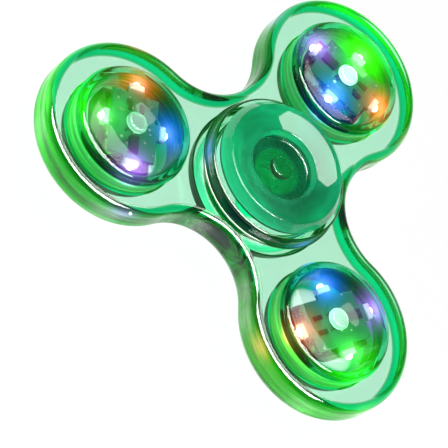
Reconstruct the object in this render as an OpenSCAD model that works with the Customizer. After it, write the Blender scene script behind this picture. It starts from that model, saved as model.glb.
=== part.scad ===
// Tri-lobe hand spinner with a light-up module in each lobe.
// Origin: centre of the hub bearing, on the frame's mid-plane. +Z is the spin axis, out of the front.
// Lobe 1 points along +X, and lobes 2 and 3 follow every 120 degrees, counter-clockwise from the front.

/* [Frame] */
// Distance from the spin axis to the centre of each lobe
arm_r = 26; // [25:0.5:32]
// Outer radius of each lobe
lobe_r = 15; // [13.5:0.5:17.5]
// Distance from the spin axis to the narrowest point between two lobes
waist_r = 15; // [13.5:0.5:17]
// Thickness of the frame
frame_t = 6; // [5:0.5:8]
// Radius that rounds the frame's outer edges
frame_edge = 1.5; // [0.5:0.1:2.4]
// Outer radius of the boss around the bearing
boss_r = 12.5; // [11.8:0.1:13.5]
// Height of the boss from front to back
boss_t = 10.6; // [9:0.2:13]
// Fillet at the boss's foot and rounding at its top
boss_fillet = 0.5; // [0.2:0.1:0.7]
// Radius of the opening in the rear shoulder that stops the bearing
shoulder_r = 10.2; // [9.8:0.1:10.6]

/* [Bearing] */
// Outer diameter of the ball bearing
brg_od = 22; // [21:0.5:22]
// Bore of the ball bearing
brg_bore = 8; // [6:0.5:8]
// Width of the ball bearing
brg_w = 7; // [6:0.5:8]
// Diameter of one ball
ball_d = 3.97; // [3:0.01:4]
// Number of balls
ball_count = 7; // [5:1:8]
// Outer radius of the inner race
inner_race_r = 6.05; // [5.7:0.05:6.1]
// Inner radius of the outer race
outer_race_r = 9.1; // [9:0.05:9.4]
// Running gap between a ball and the groove or pocket that it rolls in
ball_gap = 0.07; // [0.03:0.01:0.1]
// Radial thickness of the cage
cage_t = 1.7; // [1.2:0.1:1.9]
// Thickness of the cage's closed side, beyond the balls
cage_back = 0.55; // [0.4:0.05:0.8]
// Height of the cage's prongs above the ball centres
cage_prong = 1; // [0.6:0.1:1.4]

/* [Finger caps] */
// Distance between the flat rims of the two caps
hub_h = 15.5; // [14.4:0.1:18]
// Largest radius of a cap
cap_r = 11.4; // [10.6:0.1:12]
// Outer radius of a cap's flat rim
cap_rim_r = 10.5; // [10:0.1:10.6]
// Inner radius of a cap's flat rim, where the finger dish starts
dish_r = 9.5; // [9:0.1:9.8]
// Depth of the finger dish
dish_depth = 0.75; // [0.3:0.05:0.8]
// Radius of the recess in the middle of the dish
recess_r = 6; // [5.6:0.1:6.4]
// Depth of the recess below the dish
recess_depth = 1.5; // [0.8:0.1:1.6]
// Radius of the raised nub in the recess
nub_r = 2; // [1:0.1:2.5]
// Height of the raised nub
nub_h = 1; // [0.4:0.1:1.2]
// Outer radius of the spacer that stands on the inner race
spacer_r = 5.9; // [5.4:0.1:5.9]
// Gap between a cap and the boss
cap_gap = 0.4; // [0.3:0.05:0.6]
// Radius of the peg that joins the two cap stems
peg_r = 2.2; // [1.5:0.1:2.6]
// Length of the peg
peg_l = 3; // [2:0.1:3.2]

/* [Light modules] */
// Outer radius of a module
pod_r = 10; // [9.7:0.1:10.8]
// Wall of the module's dome and cover
pod_wall = 1.2; // [0.8:0.1:1.3]
// Thickness of the dome's and cover's crowns
crown_t = 1; // [0.8:0.1:1.2]
// Height of the dome's straight side above the frame
dome_side = 0.7; // [0.4:0.1:1.2]
// Height of the dome's crown above its straight side
dome_crown = 1.6; // [1.4:0.1:2]
// Height of the cover's straight side behind the frame
cover_side = 1.2; // [1:0.1:1.4]
// Height of the cover's crown behind its straight side
cover_crown = 2.5; // [2.3:0.1:2.6]
// Height of the joint between dome and cover, from the mid-plane
parting_z = 0.1; // [-0.5:0.1:0.5]
// Height of the spigot that centres the cover in the dome
spigot_h = 0.8; // [0.5:0.1:1]
// Depth of the dimple around the button
dimple_depth = 0.45; // [0.2:0.05:0.5]
// Radius of the dimple around the button
dimple_r = 3; // [2.4:0.1:4]

/* [Module electronics] */
// Diameter of a button cell
cell_d = 7.9; // [6.8:0.1:7.9]
// Thickness of a button cell
cell_t = 3.6; // [2.1:0.1:3.6]
// Number of button cells in the row
cell_count = 3; // [2:1:3]
// Wall of the battery cradle
cradle_wall = 0.6; // [0.5:0.1:0.8]
// Thickness of a battery contact's plate
contact_t = 0.25; // [0.15:0.05:0.3]
// Height of the bump that presses on the cell
contact_bump = 0.25; // [0.15:0.05:0.3]
// Thickness of the circuit board
board_t = 0.6; // [0.4:0.1:0.8]
// Width of the board across the row of cells
board_w = 8.2; // [7:0.1:9]
// Width of the tongues that carry the lamps
tongue_w = 3; // [2.4:0.1:3.4]
// Depth of a lamp's housing
led_d = 1; // [0.8:0.1:1.1]
// Width of a lamp's housing
led_w = 2.6; // [2:0.1:2.8]
// Height of a lamp's housing
led_h = 1.3; // [1:0.1:1.4]
// Radius of a lamp's lens
led_lens_r = 0.6; // [0.4:0.05:0.64]
// Height of the tactile switch
switch_h = 0.5; // [0.4:0.05:0.6]
// Side of the tactile switch
switch_w = 3; // [2.6:0.1:3.4]

/* [Button] */
// Radius of the push button
button_r = 1.45; // [1:0.05:1.6]
// Radius of the flange that keeps the button in
button_flange_r = 1.9; // [1.8:0.05:2.1]
// Thickness of the flange
button_flange_t = 0.3; // [0.2:0.05:0.35]
// How far the button travels when it is pressed
button_travel = 0.25; // [0.15:0.05:0.25]
// How far the button stands above the dimple
button_proud = 0.25; // [0.25:0.05:0.5]

/* [Fits] */
// Clearance of parts that are pressed or glued together
press_gap = 0.02; // [0.01:0.01:0.04]
// Radial gap between a module and the frame
pod_gap = 0.05; // [0.03:0.01:0.1]
// Running gap between the button and its hole, flange and switch
button_gap = 0.05; // [0.03:0.01:0.08]

/* [Hidden] */
$fn = 64;
LOBES = [1, 2, 3];
LAMPS = ["green", "violet", "blue", "red"];
POD_NODES = [
    "pod_dome", "pod_rear_cover", "push_button", "circuit_board", "tact_switch", "controller_chip",
    "resistors", "button_cells", "battery_cradle", "contact_positive", "contact_negative",
    "led_green", "led_violet", "led_blue", "led_red"
];

through = 1;                     // how far a cut runs past the face it opens
lobe_steps = 22;                 // straight steps in one lobe's arc
waist_steps = 12;                // straight steps in one waist's arc
edge_steps = 4;                  // steps in the frame's quarter-round edge
crown_steps = 12;                // steps in a crown's curve
crown_power = 2.6;               // 2 is an ellipse, and more is squarer at the shoulder

// The waist's arc touches both lobes: its centre lies on the line between them
waist_arc_r = (arm_r*arm_r + waist_r*waist_r - arm_r*waist_r - lobe_r*lobe_r)
            / (arm_r + 2*lobe_r - 2*waist_r);
waist_arc_c = waist_r + waist_arc_r;
lobe_half = atan2(waist_arc_c*sin(60), waist_arc_c*cos(60) - arm_r);
waist_half = lobe_half - 60;

race_r = brg_od/2 + press_gap;
pitch_r = (inner_race_r + outer_race_r)/2 - 0.075;
groove_r = ball_d/2 + ball_gap;
stem_r = brg_bore/2 - press_gap;
rim_z = hub_h/2;
cap_under_z = boss_t/2 + cap_gap;
dish_z = rim_z - dish_depth;
recess_z = dish_z - recess_depth;

pod_in_r = pod_r - pod_wall;
dome_side_z = frame_t/2 + dome_side;
dome_top_z = dome_side_z + dome_crown;
cover_side_z = frame_t/2 + cover_side;
cover_top_z = cover_side_z + cover_crown;
dimple_z = dome_top_z - dimple_depth;
roof_z = dome_top_z - crown_t;
rabbet_r = pod_r - pod_wall/2;

button_low_z = roof_z - button_gap - button_flange_t;
board_top_z = button_low_z - button_travel - button_gap - switch_h;
board_low_z = board_top_z - board_t;
cell_z = board_low_z - 0.12 - cell_d/2;
row_l = cell_count*cell_t + (cell_count - 1)*press_gap;
contact_y = row_l/2 + press_gap + contact_bump;
cradle_y = contact_y + contact_t + press_gap;
tongue_l = cradle_y + 0.5;
tongue_side = board_w/2 + 0.8;

// ---------- helpers ----------

// Points of an arc about c, from angle a0 to a1 in n steps
function arc(c, r, a0, a1, n) = [for (i = [0:n]) c + r*[cos(a0 + (a1 - a0)*i/n), sin(a0 + (a1 - a0)*i/n)]];

// The three-lobed outline, moved inwards by inset
function outline(inset) = [
    for (k = LOBES)
        let (dir = 120*(k - 1), mid = dir + 60)
        each concat(
            arc(arm_r*[cos(dir), sin(dir)], lobe_r - inset, dir - lobe_half, dir + lobe_half, lobe_steps),
            [for (i = [1:waist_steps - 1])
                let (a = mid + 180 + waist_half*(1 - 2*i/waist_steps))
                waist_arc_c*[cos(mid), sin(mid)] + (waist_arc_r + inset)*[cos(a), sin(a)]]
        )
];

// Curve of a crown from its shoulder (r, z) up to its top (0, z + h)
function crown(r, z, h) = [
    for (i = [0:crown_steps])
        let (a = 90*i/crown_steps)
        [r*pow(cos(a), 2/crown_power), z + h*pow(sin(a), 2/crown_power)]
];

// Depth of the rear cover's inner crown at radius r
function cover_inner_z(r) =
    let (foot = cover_side_z - 0.3)
    foot + (cover_top_z - crown_t - foot)*pow(1 - pow(r/pod_in_r, crown_power), 1/crown_power);

// Places children at lobe k, with X outwards and Y counter-clockwise
module at_lobe(k) rotate(120*(k - 1)) translate([arm_r, 0, 0]) children();

// ---------- frame ----------

// Band along the outline with quarter-round edges, front and rear, which laps into the flat core
module rounded_band() {
    lap = 0.8;
    half = [for (i = [0:edge_steps])
        let (a = 90*(1 - i/edge_steps))
        [frame_edge*(1 - cos(a)), frame_t/2 - frame_edge*(1 - sin(a))]];
    levels = concat(
        [for (p = half) [p[0], -p[1]]],
        [for (i = [edge_steps:-1:0]) half[i]],
        [[frame_edge + lap, frame_t/2 - lap/2], [frame_edge + lap, lap/2 - frame_t/2]]
    );
    n = len(outline(0));
    m = len(levels);
    polyhedron(
        points = [for (l = levels, p = outline(l[0])) [p[0], p[1], l[1]]],
        faces = [for (j = [0:m - 1], i = [0:n - 1])
            let (u = (j + 1)%m)
            [j*n + i, u*n + i, u*n + (i + 1)%n, j*n + (i + 1)%n]],
        convexity = 6
    );
}

// Half profile of the boss: filleted foot on each face and rounded top
function boss_half() = concat(
    [[boss_r + boss_fillet, 0], [boss_r + boss_fillet, frame_t/2 - 0.05]],
    arc([boss_r + boss_fillet, frame_t/2 + boss_fillet], boss_fillet, 255, 180, 4),
    arc([boss_r - boss_fillet, boss_t/2 - boss_fillet], boss_fillet, 0, 90, 4)
);

module boss() rotate_extrude() polygon(concat(
    [[0, -boss_t/2]],
    [for (i = [len(boss_half()) - 1:-1:0]) [boss_half()[i][0], -boss_half()[i][1]]],
    [for (i = [1:len(boss_half()) - 1]) boss_half()[i]],
    [[0, boss_t/2]]
));

module frame() {
    bore_edge = 0.3;
    color([0.35, 0.9, 0.55, 0.5]) difference() {
        union() {
            linear_extrude(frame_t, center = true) polygon(outline(frame_edge));
            rounded_band();
            boss();
        }
        translate([0, 0, -brg_w/2]) cylinder(r = race_r, h = boss_t + brg_w);
        translate([0, 0, -boss_t]) cylinder(r = shoulder_r, h = 2*boss_t);
        for (k = LOBES) at_lobe(k) {
            cylinder(r = pod_r + pod_gap, h = frame_t + 2*through, center = true);
            for (side = [0, 1]) mirror([0, 0, side])
                translate([0, 0, frame_t/2 - bore_edge])
                    cylinder(r1 = pod_r + pod_gap, r2 = pod_r + pod_gap + 2*bore_edge, h = 2*bore_edge);
        }
    }
}

// ---------- bearing ----------

module race_groove() rotate_extrude() translate([pitch_r, 0]) circle(r = groove_r);

module bearing_outer_race() color([0.78, 0.8, 0.82]) difference() {
    cylinder(r = brg_od/2, h = brg_w, center = true);
    cylinder(r = outer_race_r, h = brg_w + 2*through, center = true);
    race_groove();
}

module bearing_inner_race() color([0.78, 0.8, 0.82]) difference() {
    cylinder(r = inner_race_r, h = brg_w, center = true);
    cylinder(r = brg_bore/2, h = brg_w + 2*through, center = true);
    race_groove();
}

module ball_places() for (i = [0:ball_count - 1]) rotate(360*i/ball_count) translate([pitch_r, 0, 0]) children();

module bearing_balls() color([0.85, 0.86, 0.88]) ball_places() sphere(r = ball_d/2);

// Crown cage: a ring behind the balls, with a pocket around each ball that opens to the front
module bearing_cage() color([0.7, 0.72, 0.72]) difference() {
    translate([0, 0, -groove_r - cage_back]) difference() {
        cylinder(r = pitch_r + cage_t/2, h = groove_r + cage_back + cage_prong);
        translate([0, 0, -through])
            cylinder(r = pitch_r - cage_t/2, h = groove_r + cage_back + cage_prong + 2*through);
    }
    ball_places() sphere(r = groove_r);
}

// ---------- finger caps ----------

// Disc of a cap: rim, finger dish, recess and the spacer down to the inner race
module cap_disc() {
    edge = 0.3;
    draft = 0.6;
    dish_steps = 8;
    rotate_extrude() polygon(concat(
        [[0, brg_w/2], [spacer_r, brg_w/2], [spacer_r, cap_under_z]],
        arc([cap_r - edge, cap_under_z + edge], edge, 270, 360, 4),
        [[cap_rim_r + edge/2, rim_z - edge]],
        arc([cap_rim_r - edge, rim_z - edge], edge, 30, 90, 3),
        // The dish is part of a ball, so its height grows with the square of the radius
        [for (i = [0:dish_steps])
            let (r = dish_r + (recess_r - dish_r)*i/dish_steps)
            [r, dish_z + dish_depth*(r*r - recess_r*recess_r)/(dish_r*dish_r - recess_r*recess_r)]],
        [[recess_r - draft, recess_z], [0, recess_z]]
    ));
}

module cap_nub() {
    round = 0.35;
    translate([0, 0, recess_z - round]) rotate_extrude() polygon(concat(
        [[0, 0], [nub_r, 0]],
        arc([nub_r - round, nub_h], round, 0, 90, 4),
        [[0, nub_h + round]]
    ));
}

module finger_cap_front() color([0.1, 0.75, 0.42, 0.6]) {
    cap_disc();
    cap_nub();
    translate([0, 0, press_gap]) cylinder(r = stem_r, h = brg_w/2);
    translate([0, 0, -peg_l]) cylinder(r = peg_r, h = peg_l + brg_w/2);
}

module finger_cap_rear() color([0.1, 0.75, 0.42, 0.6]) mirror([0, 0, 1]) difference() {
    union() {
        cap_disc();
        cap_nub();
        translate([0, 0, press_gap]) cylinder(r = stem_r, h = brg_w/2);
    }
    translate([0, 0, -through]) cylinder(r = peg_r + press_gap, h = peg_l + press_gap + through);
}

// ---------- light module shells ----------

module pod_dome(k) color([0.3, 0.85, 0.5, 0.4]) at_lobe(k) difference() {
    rotate_extrude() polygon(concat(
        [[rabbet_r, parting_z], [pod_r, parting_z]],
        crown(pod_r, dome_side_z, dome_crown),
        [[0, roof_z]],
        [for (i = [crown_steps - 1:-1:0]) crown(pod_in_r, dome_side_z - 0.3, roof_z - dome_side_z + 0.3)[i]],
        [[pod_in_r, parting_z + spigot_h], [rabbet_r, parting_z + spigot_h]]
    ));
    translate([0, 0, parting_z]) cylinder(r = button_r + button_gap, h = dome_top_z);
    dimple_cut();
}

// A large ball sinks the dimple into the crown
module dimple_cut() {
    ball = (dimple_r*dimple_r + dimple_depth*dimple_depth)/(2*dimple_depth);
    translate([0, 0, dimple_z + ball]) sphere(r = ball, $fn = 128);
}

module pod_rear_cover(k) color([0.3, 0.85, 0.5, 0.4]) at_lobe(k) mirror([0, 0, 1]) rotate_extrude() polygon(concat(
    [[rabbet_r - press_gap, press_gap - parting_z], [pod_r, press_gap - parting_z]],
    crown(pod_r, cover_side_z, cover_crown),
    [[0, cover_top_z - crown_t]],
    [for (i = [crown_steps - 1:-1:0])
        crown(pod_in_r, cover_side_z - 0.3, cover_crown - crown_t + 0.3)[i]],
    [[pod_in_r, -parting_z - spigot_h + press_gap], [rabbet_r - press_gap, -parting_z - spigot_h + press_gap]]
));

// ---------- light module electronics ----------

module push_button(k) color([0.6, 0.95, 0.72]) at_lobe(k) {
    translate([0, 0, button_low_z]) cylinder(r = button_flange_r, h = button_flange_t);
    translate([0, 0, button_low_z]) cylinder(r = button_r, h = dimple_z + button_proud - button_low_z);
}

// Board with a tongue under each lamp
module circuit_board(k) color([0.05, 0.3, 0.16]) at_lobe(k) translate([0, 0, board_low_z]) linear_extrude(board_t)
    union() {
        square([board_w, 2*cradle_y - 0.8], center = true);
        square([tongue_w, 2*tongue_l], center = true);
        square([2*tongue_side, tongue_w], center = true);
    }

module tact_switch(k) color([0.2, 0.2, 0.22]) at_lobe(k) translate([0, 0, board_top_z]) {
    actuator_h = 0.12;
    translate([-switch_w/2, -switch_w/2, 0]) cube([switch_w, switch_w, switch_h - actuator_h]);
    cylinder(r = switch_w/4, h = switch_h);
}

module controller_chip(k) color([0.1, 0.1, 0.12]) at_lobe(k)
    translate([-0.8, button_flange_r + 0.4, board_top_z]) cube([1.6, 2.8, 0.6]);

module resistors(k) color([0.15, 0.15, 0.17]) at_lobe(k)
    for (side = [-1, 1])
        translate([side*1.2 - 0.4, -button_flange_r - 2.2, board_top_z]) cube([0.8, 1.6, 0.4]);

// A row of cells lying on their sides: each is a can with a narrower cap at one end
module button_cells(k) color([0.75, 0.76, 0.78]) at_lobe(k)
    for (i = [0:cell_count - 1])
        translate([0, -row_l/2 + i*(cell_t + press_gap), cell_z]) rotate([-90, 0, 0]) {
            cap_h = 0.25;
            cylinder(r = 0.78*cell_d/2, h = cell_t);
            translate([0, 0, cap_h]) cylinder(r = cell_d/2, h = cell_t - cap_h);
        }

// Open tray with a saddle for the cells and a wall behind each contact. Its corners stand on the cover's crown.
module battery_cradle(k) color([0.12, 0.14, 0.13]) at_lobe(k) {
    seat_r = cell_d/2 + 0.05;
    corner_r = norm([seat_r + cradle_wall, cradle_y + cradle_wall]);
    low_z = 0.03 - cover_inner_z(corner_r);
    high_z = cell_z + 2;
    difference() {
        translate([-seat_r - cradle_wall, -cradle_y - cradle_wall, low_z])
            cube([2*(seat_r + cradle_wall), 2*(cradle_y + cradle_wall), high_z - low_z]);
        translate([0, cradle_y, cell_z]) rotate([90, 0, 0]) cylinder(r = seat_r, h = 2*cradle_y);
        translate([-seat_r, -cradle_y, cell_z]) cube([2*seat_r, 2*cradle_y, cell_d]);
    }
}

// Plate behind the row with a bump towards the cell and a tail up to the board
module contact(k, side) at_lobe(k) translate([0, side*contact_y, 0]) rotate([side*-90, 0, 0]) {
    plate = sqrt(2)*(cell_d/2 - 0.41);  // a square inside the cell's circle
    tail_w = 2.2;
    translate([0, -side*cell_z, -contact_bump]) cylinder(r1 = 1.2, r2 = 1.8, h = contact_bump);
    translate([-plate/2, -side*cell_z - plate/2, 0]) cube([plate, plate, contact_t]);
    translate([-tail_w/2, side > 0 ? -board_low_z : cell_z, 0])
        cube([tail_w, board_low_z - cell_z, contact_t]);
}

module contact_positive(k) color([0.8, 0.72, 0.4]) contact(k, 1);

module contact_negative(k) color([0.78, 0.78, 0.76]) contact(k, -1);

// Lamp number i of lobe k: housing against the end of its tongue, lens facing outwards
module led(k, i) {
    reach = i%2 == 0 ? tongue_side : tongue_l;
    mid_z = (board_low_z + board_top_z)/2;
    at_lobe(k) rotate(90*i) translate([reach, 0, mid_z]) {
        translate([0, -led_w/2, -led_h/2]) cube([led_d, led_w, led_h]);
        translate([led_d, 0, 0]) sphere(r = led_lens_r);
    }
}

module led_green(k) color([0.3, 1, 0.4]) led(k, 0);
module led_violet(k) color([0.7, 0.3, 1]) led(k, 1);
module led_blue(k) color([0.2, 0.4, 1]) led(k, 2);
module led_red(k) color([1, 0.4, 0.2]) led(k, 3);

// ---------- drawing ----------

frame();
bearing_outer_race();
bearing_inner_race();
bearing_cage();
bearing_balls();
finger_cap_front();
finger_cap_rear();
for (k = LOBES) {
    pod_dome(k);
    pod_rear_cover(k);
    push_button(k);
    circuit_board(k);
    tact_switch(k);
    controller_chip(k);
    resistors(k);
    button_cells(k);
    battery_cradle(k);
    contact_positive(k);
    contact_negative(k);
    led_green(k);
    led_violet(k);
    led_blue(k);
    led_red(k);
}
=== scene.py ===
"""Looks of a tri-lobe light-up hand spinner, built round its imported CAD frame."""

import math

import bpy
import numpy as np
from bpy.props import FloatProperty, FloatVectorProperty, IntProperty, PointerProperty
from mathutils import Matrix, Vector
from mathutils.geometry import delaunay_2d_cdt


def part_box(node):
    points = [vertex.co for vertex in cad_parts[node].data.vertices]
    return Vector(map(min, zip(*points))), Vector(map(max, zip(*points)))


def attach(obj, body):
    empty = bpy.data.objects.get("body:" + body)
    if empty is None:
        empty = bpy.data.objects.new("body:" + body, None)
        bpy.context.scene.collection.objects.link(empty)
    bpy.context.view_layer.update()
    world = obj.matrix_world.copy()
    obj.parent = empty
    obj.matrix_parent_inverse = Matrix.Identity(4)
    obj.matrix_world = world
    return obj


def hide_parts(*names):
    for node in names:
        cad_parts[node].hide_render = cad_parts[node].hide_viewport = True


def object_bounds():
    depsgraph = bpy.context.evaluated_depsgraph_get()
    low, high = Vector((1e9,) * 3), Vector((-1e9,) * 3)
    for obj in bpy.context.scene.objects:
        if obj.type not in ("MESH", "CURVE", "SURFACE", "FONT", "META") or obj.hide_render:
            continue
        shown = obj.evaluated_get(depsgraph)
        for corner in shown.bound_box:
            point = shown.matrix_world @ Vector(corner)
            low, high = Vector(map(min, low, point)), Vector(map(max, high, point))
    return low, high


bl_info = {
    "name": "Light-up hand spinner",
    "version": (1, 0, 0),
    "blender": (4, 5, 0),
    "location": "3D View > Sidebar > Spinner",
    "description": "Makes the clear shells, lamps, bearing and studio of a three-lobed hand spinner",
    "category": "Add Mesh",
}

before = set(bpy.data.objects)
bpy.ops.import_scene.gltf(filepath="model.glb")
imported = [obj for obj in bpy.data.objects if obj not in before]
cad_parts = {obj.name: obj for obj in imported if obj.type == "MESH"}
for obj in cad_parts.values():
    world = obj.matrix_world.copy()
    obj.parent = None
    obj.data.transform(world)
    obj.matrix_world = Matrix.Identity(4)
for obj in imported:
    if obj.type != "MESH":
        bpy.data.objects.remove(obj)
CAD_BOX = [list(corner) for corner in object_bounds()]

MM = 0.001
LOBES = (1, 2, 3)
# Lamp names in counter-clockwise order, starting from the one that points away from the hub
LAMPS = ("green", "violet", "blue", "red")


def corners(node):
    """A CAD node's lowest and highest corner as numpy arrays, in metres."""
    low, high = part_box(node)
    return np.array(low), np.array(high)


def middle(node):
    """The centre of a CAD node's box."""
    low, high = corners(node)
    return (low + high) / 2


DOME_LOW, DOME_HIGH = corners("pod_dome_1")
COVER_LOW, COVER_HIGH = corners("pod_rear_cover_1")
FRAME_HIGH = corners("frame")[1]
CAP_LOW, CAP_HIGH = corners("finger_cap_front")
RACE_LOW, RACE_HIGH = corners("bearing_outer_race")
INNER_HIGH = corners("bearing_inner_race")[1]
BALL_LOW, BALL_HIGH = corners("bearing_balls")
BUTTON_LOW, BUTTON_HIGH = corners("push_button_1")
CELL_LOW, CELL_HIGH = corners("button_cells_1")

ARM = (DOME_LOW[0] + DOME_HIGH[0]) / 2
BALL_R = (BALL_HIGH[2] - BALL_LOW[2]) / 2
PITCH_R = BALL_HIGH[0] - BALL_R


# ---------------------------------------------------------------- settings


def length(name, description, default, lowest=0.0):
    """A length setting in metres."""
    return FloatProperty(
        name=name, description=description, default=default, min=lowest, unit="LENGTH", precision=5
    )


def angle(name, description, degrees):
    """An angle setting."""
    return FloatProperty(name=name, description=description, default=math.radians(degrees), subtype="ANGLE")


def colour(name, description, default):
    """A colour setting."""
    return FloatVectorProperty(
        name=name, description=description, default=default, size=3, subtype="COLOR", min=0.0, max=1.0
    )


class SpinnerSizes(bpy.types.PropertyGroup):
    """Sizes that the frame's boxes don't give."""

    lobe_radius: length("Lobe radius", "Outer radius of each lobe", FRAME_HIGH[0] - ARM)
    waist_radius: length("Waist radius", "Hub centre to the narrowest point between lobes", 15 * MM)
    frame_thickness: length("Frame thickness", "Thickness of the three-lobed body", 6 * MM)
    edge_radius: length("Edge radius", "Radius that rounds the body's outer edges", 1.5 * MM)
    boss_radius: length("Boss radius", "Outer radius of the boss round the bearing", 12.5 * MM)
    boss_fillet: length("Boss fillet", "Fillet at the boss's foot and rounding at its top", 0.5 * MM)
    shoulder_radius: length("Shoulder radius", "Opening in the shoulder behind the bearing", 10.2 * MM)
    module_gap: length("Module gap", "Radial gap between a module and its bore", 0.05 * MM)
    bore_edge: length("Bore edge", "Bevel at the mouth of each module bore", 0.3 * MM)
    dome_side: length("Dome side", "Straight side of the dome above the body", 0.7 * MM)
    dome_crown: length("Dome crown", "Rise of the dome above its straight side", 1.6 * MM)
    cover_side: length("Cover side", "Straight side of the rear cover behind the body", 1.2 * MM)
    shell_wall: length("Shell wall", "Wall of dome and cover", 1.2 * MM)
    crown_wall: length("Crown wall", "Thickness of both crowns", 1.0 * MM)
    parting: length("Parting", "Height of the joint between dome and cover", 0.1 * MM)
    spigot: length("Spigot", "Height of the spigot inside the joint", 0.8 * MM)
    dimple_depth: length("Dimple depth", "Depth of the dimple round the button", 0.45 * MM)
    dimple_radius: length("Dimple radius", "Radius of the dimple round the button", 3 * MM)
    button_radius: length("Button radius", "Radius of the button's shank", 1.45 * MM)
    button_gap: length("Button gap", "Gap between the shank and its hole", 0.05 * MM)
    flange_thickness: length("Flange thickness", "Thickness of the button's flange", 0.3 * MM)
    cap_under: length("Cap underside", "Height of the cap's underside above the mid-plane", 5.7 * MM)
    cap_rim: length("Cap rim", "Outer radius of the cap's flat rim", 10.5 * MM)
    dish_radius: length("Dish radius", "Where the finger dish starts", 9.5 * MM)
    dish_depth: length("Dish depth", "Depth of the finger dish", 0.75 * MM)
    recess_radius: length("Recess radius", "Radius of the recess in the dish", 6 * MM)
    recess_depth: length("Recess depth", "Depth of the recess below the dish", 1.5 * MM)
    nub_radius: length("Nub radius", "Radius of the nub in the recess", 2 * MM)
    nub_height: length("Nub height", "Height of the nub", 1 * MM)
    spacer_radius: length("Spacer radius", "Spacer that stands on the inner race", 5.9 * MM)
    peg_radius: length("Peg radius", "Peg that joins the two caps", 2.2 * MM)
    bearing_bore: length("Bearing bore", "Radius of the inner race's bore", 4 * MM)
    outer_race_bore: length("Outer race bore", "Inner radius of the outer race", 9.1 * MM)
    ball_gap: length("Ball gap", "Gap between a ball and its grooves", 0.07 * MM)
    press_gap: length("Press gap", "Gap between pieces that are pressed together", 0.02 * MM)
    ball_count: IntProperty(name="Balls", description="Balls in the bearing", default=7, min=3)
    cell_count: IntProperty(name="Cells", description="Cells in a module's row", default=3, min=1)
    lamp_depth: length("Lamp depth", "Depth of a lamp's housing", 1 * MM)
    lamp_width: length("Lamp width", "Width of a lamp's housing", 2.6 * MM)
    lamp_height: length("Lamp height", "Height of a lamp's housing", 1.3 * MM)
    lens_radius: length("Lens radius", "Radius of a lamp's lens", 0.6 * MM)
    arc_steps: IntProperty(name="Arc steps", description="Steps in a full turn", default=144, min=24)


class SpinnerColours(bpy.types.PropertyGroup):
    """Tints and light colours."""

    body: colour("Body", "Light that passes 10 mm of the clear body", (0.33, 0.82, 0.52))
    # Painted shade: this colour is painted over the sides and bends of the clear shells, for light's longer
    # path through them
    edge: colour("Edges", "Light that passes a side or a bend of the body", (0.0, 0.34, 0.07))
    cap: colour("Caps", "Light that passes 10 mm of a finger cap", (0.002, 0.50, 0.2))
    module: colour("Modules", "Light that passes 10 mm of a dome or cover", (0.10, 0.75, 0.40))
    button: colour("Buttons", "Light that passes 10 mm of a button", (0.35, 0.88, 0.60))
    cap_glow: colour("Cap glow", "Light that leaves a finger cap everywhere", (0.0, 0.19, 0.07))
    button_glow: colour("Button glow", "Light that leaves a button everywhere", (0.30, 0.60, 0.42))
    green: colour("Green lamp", "Light of the outer lamp", (0.04, 0.80, 0.0))
    violet: colour("Violet lamp", "Light of the lamp on the counter-clockwise side", (0.42, 0.08, 0.95))
    blue: colour("Blue lamp", "Light of the lamp next to the hub", (0.0, 0.14, 1.0))
    red: colour("Red lamp", "Light of the lamp on the clockwise side", (1.0, 0.12, 0.0))
    lamp_power: FloatProperty(
        name="Lamp power", description="Brightness of the lamps' lenses", default=120.0, min=0.0
    )
    glow: FloatProperty(name="Glow", description="Light spilled into the clear shells", default=1.0, min=0.0)


def sizes():
    """The scene's size settings."""
    return bpy.context.scene.spinner_sizes


def colours():
    """The scene's colour settings."""
    return bpy.context.scene.spinner_colours


# ---------------------------------------------------------------- profiles
# A profile is a list of stretches. Each stretch is (points, normals), two arrays of (radius, height) pairs.
# The material lies on the left of the direction of travel, so the normal points to the right.


def line(a, b, steps=1):
    """Straight stretch: points a + (b - a) t, with one normal at right angles to it."""
    a, b = np.array(a, float), np.array(b, float)
    t = np.linspace(0, 1, steps + 1)[:, None]
    along = (b - a) / np.linalg.norm(b - a)
    normal = np.array([along[1], -along[0]])
    return a + (b - a) * t, np.tile(normal, (steps + 1, 1))


def bend(centre, radius, start, end, steps=10):
    """Arc: centre + radius (cos a, sin a) for a from start to end degrees; it is hollow if a falls."""
    a = np.radians(np.linspace(start, end, steps + 1))
    ray = np.stack([np.cos(a), np.sin(a)], 1)
    return np.array(centre) + radius * ray, ray * (1 if end > start else -1)


def crown(radius, height, rise, upto=90.0, steps=20, power=2.6):
    """Superellipse |r/R|^p + |z/H|^p = 1 from its foot (R, 0) towards its top (0, H), lifted to height."""
    a = np.radians(np.linspace(0, upto, steps + 1))
    c, s = np.abs(np.cos(a)), np.abs(np.sin(a))
    c[c < 1e-9] = 0
    points = np.stack([radius * c ** (2 / power), height + rise * s ** (2 / power)], 1)
    normals = np.stack([c ** (2 - 2 / power) / radius, s ** (2 - 2 / power) / rise], 1)
    return points, normals / np.linalg.norm(normals, axis=1)[:, None]


def backwards(stretch):
    """The same stretch walked the other way, with its material on the other side."""
    return stretch[0][::-1], -stretch[1][::-1]


def joined(*points):
    """Straight stretches through a row of points."""
    return [line(a, b) for a, b in zip(points[:-1], points[1:])]


def end_of(stretch):
    """A stretch's last point."""
    return tuple(stretch[0][-1])


def start_of(stretch):
    """A stretch's first point."""
    return tuple(stretch[0][0])


# ---------------------------------------------------------------- surfaces


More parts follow.
